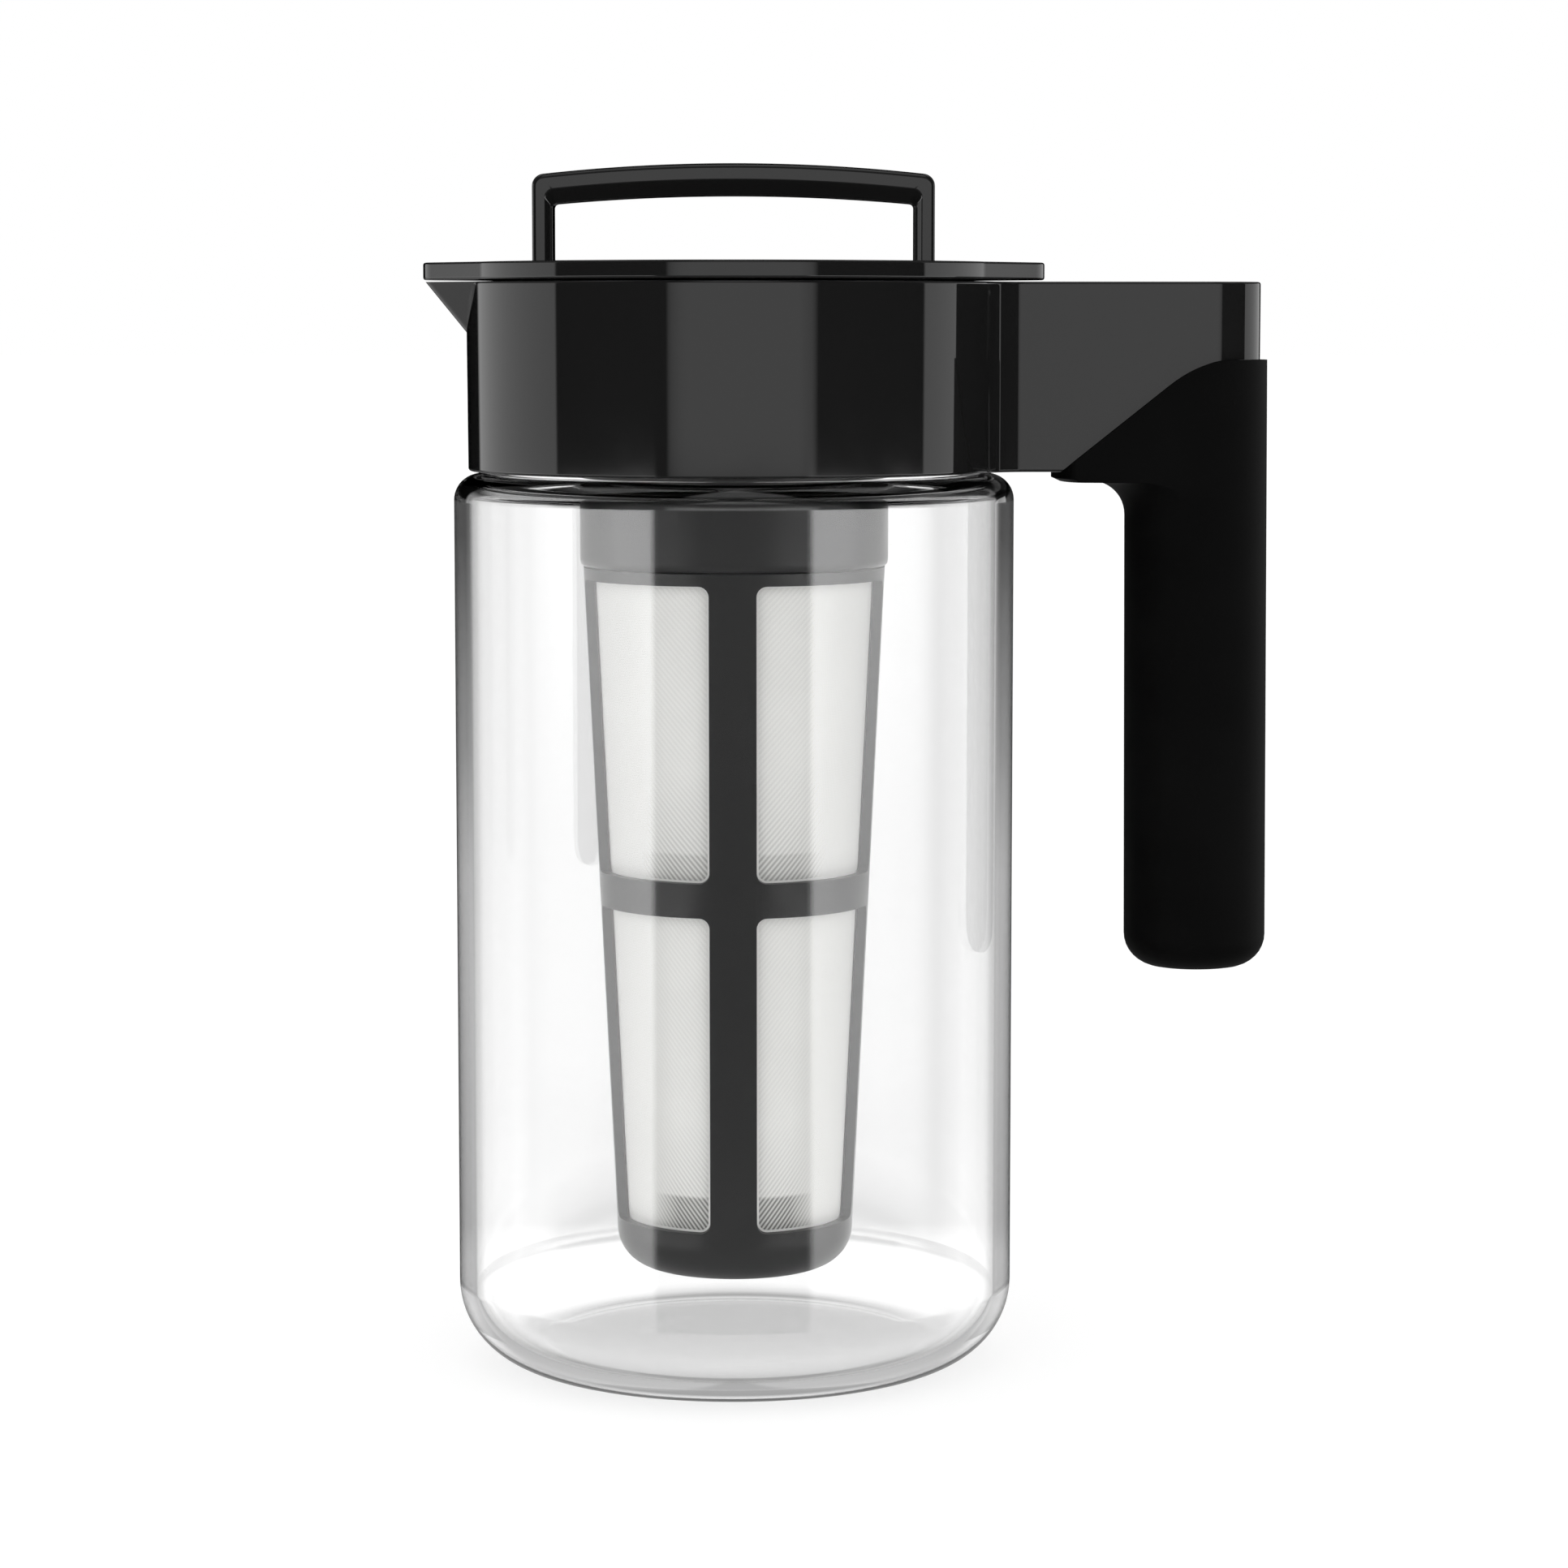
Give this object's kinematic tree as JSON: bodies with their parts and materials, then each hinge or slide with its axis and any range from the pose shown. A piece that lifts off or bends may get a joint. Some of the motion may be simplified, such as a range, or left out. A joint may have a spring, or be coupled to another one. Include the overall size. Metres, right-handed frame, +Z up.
{
  "type": "cold brew coffee maker",
  "caption": "Clear cylindrical jug with a black collar, spout and side handle; a turning lid with a carrying bail holds a tall mesh infuser inside.",
  "frame": {"origin": "middle of the jug's flat base, on the surface it stands on", "axes": "+Z up along the jug's axis, +X towards the handle, -X towards the spout, +Y away from the viewer"},
  "size_m": [0.1511, 0.1, 0.2152],
  "materials": {
    "clear_copolyester": "clear, polished",
    "gloss_abs": "black, high gloss",
    "soft_grip": "black, soft matte",
    "infuser_plastic": "dark grey, satin",
    "silicone": "grey, soft",
    "nylon_mesh": "white, fine woven"
  },
  "bodies": {
    "jug": {"carafe": "clear_copolyester", "neck_seal": "silicone", "collar_housing": "gloss_abs", "handle_grip": "soft_grip"},
    "gasket": {"lid_gasket": "silicone"},
    "lid": {"lid_cover": "gloss_abs", "lid_bail": "gloss_abs", "lid_plug": "infuser_plastic"},
    "infuser": {"infuser_ring": "infuser_plastic", "infuser_frame": "infuser_plastic", "filter_mesh": "nylon_mesh"}
  },
  "joints": [
    {"name": "lid_lift", "type": "slide", "parent": "jug", "child": "gasket", "axis": [0, 0, 1], "range_m": [0, 0.19]},
    {"name": "lid_turn", "type": "hinge", "parent": "gasket", "child": "lid", "pos_m": [0, 0, 0.195], "axis": [0, 0, 1], "range_deg": [0, 90]},
    {"name": "infuser_turn", "type": "hinge", "parent": "lid", "child": "infuser", "pos_m": [0, 0, 0.18], "axis": [0, 0, 1], "range_deg": [0, 35]}
  ]
}
